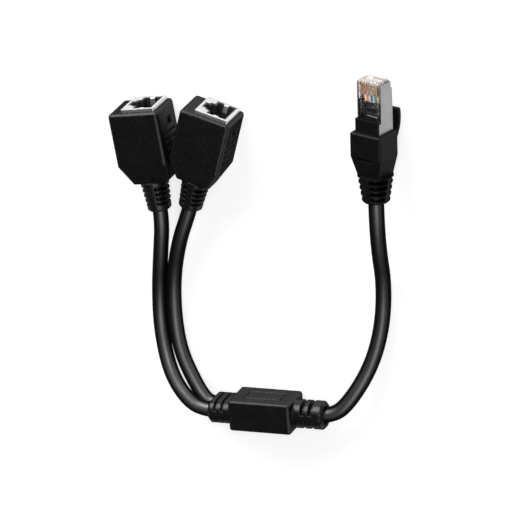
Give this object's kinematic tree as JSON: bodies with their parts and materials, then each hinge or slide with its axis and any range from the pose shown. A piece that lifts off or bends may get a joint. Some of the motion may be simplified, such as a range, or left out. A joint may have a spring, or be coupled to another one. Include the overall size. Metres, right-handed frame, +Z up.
{
  "type": "network splitter lead",
  "caption": "Short black network splitter lead: a shielded plug, a moulded junction block and shielded sockets, joined by black cables.",
  "frame": {"origin": "middle of the junction block's narrow long side, on the surface that the lead lies on", "axes": "+X along the junction block towards the main cable, +Y from the block towards the plug and the sockets, +Z up from the surface"},
  "size_m": [0.1221, 0.1574, 0.0219],
  "materials": {
    "black_moulding": "fine grained matte",
    "cable_jacket": "smooth satin",
    "plated_sheet": "bright plated, satin",
    "socket_insert": "satin",
    "gold_contact": "polished gold plate",
    "clear_body": "clear, polished",
    "inner_mould": "natural, satin",
    "circuit_board": "lacquered",
    "wire_white_orange": "satin",
    "wire_orange": "satin",
    "wire_white_green": "satin",
    "wire_blue": "satin",
    "wire_white_blue": "satin",
    "wire_green": "satin",
    "wire_white_brown": "satin",
    "wire_brown": "satin"
  },
  "bodies": {
    "root": {"left_jack_housing": "black_moulding", "left_jack_shield": "plated_sheet", "left_jack_insulator": "socket_insert", "left_jack_contact_1": "gold_contact", "left_jack_contact_2": "gold_contact", "left_jack_contact_3": "gold_contact", "left_jack_contact_4": "gold_contact", "left_jack_contact_5": "gold_contact", "left_jack_contact_6": "gold_contact", "left_jack_contact_7": "gold_contact", "left_jack_contact_8": "gold_contact", "left_jack_inner_mould": "inner_mould", "left_jack_cable_end": "cable_jacket", "right_jack_housing": "black_moulding", "right_jack_shield": "plated_sheet", "right_jack_insulator": "socket_insert", "right_jack_contact_1": "gold_contact", "right_jack_contact_2": "gold_contact", "right_jack_contact_3": "gold_contact", "right_jack_contact_4": "gold_contact", "right_jack_contact_5": "gold_contact", "right_jack_contact_6": "gold_contact", "right_jack_contact_7": "gold_contact", "right_jack_contact_8": "gold_contact", "right_jack_inner_mould": "inner_mould", "right_jack_cable_end": "cable_jacket", "junction_housing": "black_moulding", "junction_board": "circuit_board", "junction_left_cable_end": "cable_jacket", "junction_right_cable_end": "cable_jacket", "junction_main_cable_end": "cable_jacket", "plug_body": "clear_body", "plug_shield": "plated_sheet", "plug_contact_1": "gold_contact", "plug_contact_2": "gold_contact", "plug_contact_3": "gold_contact", "plug_contact_4": "gold_contact", "plug_contact_5": "gold_contact", "plug_contact_6": "gold_contact", "plug_contact_7": "gold_contact", "plug_contact_8": "gold_contact", "plug_wire_1": "wire_white_orange", "plug_wire_2": "wire_orange", "plug_wire_3": "wire_white_green", "plug_wire_4": "wire_blue", "plug_wire_5": "wire_white_blue", "plug_wire_6": "wire_green", "plug_wire_7": "wire_white_brown", "plug_wire_8": "wire_brown", "plug_cable_end": "cable_jacket", "plug_boot": "black_moulding", "cord_left": "cable_jacket", "cord_right": "cable_jacket", "cord_main": "cable_jacket"},
    "latch": {"plug_latch": "clear_body"},
    "guard": {"latch_guard": "black_moulding"}
  },
  "joints": [
    {"name": "guard_press", "type": "hinge", "parent": "root", "child": "guard", "pos_m": [0.05931, 0.12194, 0.00637], "axis": [0.9603, -0.0419, 0.2756], "range_deg": [0, 22], "stiffness_Nm_per_rad": 0.1},
    {"name": "latch_press", "type": "hinge", "parent": "root", "child": "latch", "pos_m": [0.0598, 0.1499, 0.00892], "axis": [-0.9603, 0.0419, -0.2756], "range_deg": [0, 9.5], "stiffness_Nm_per_rad": 0.005}
  ],
  "couplings": [
    {"joint": "latch_press", "follows": "guard_press", "ratio": 0.42}
  ]
}
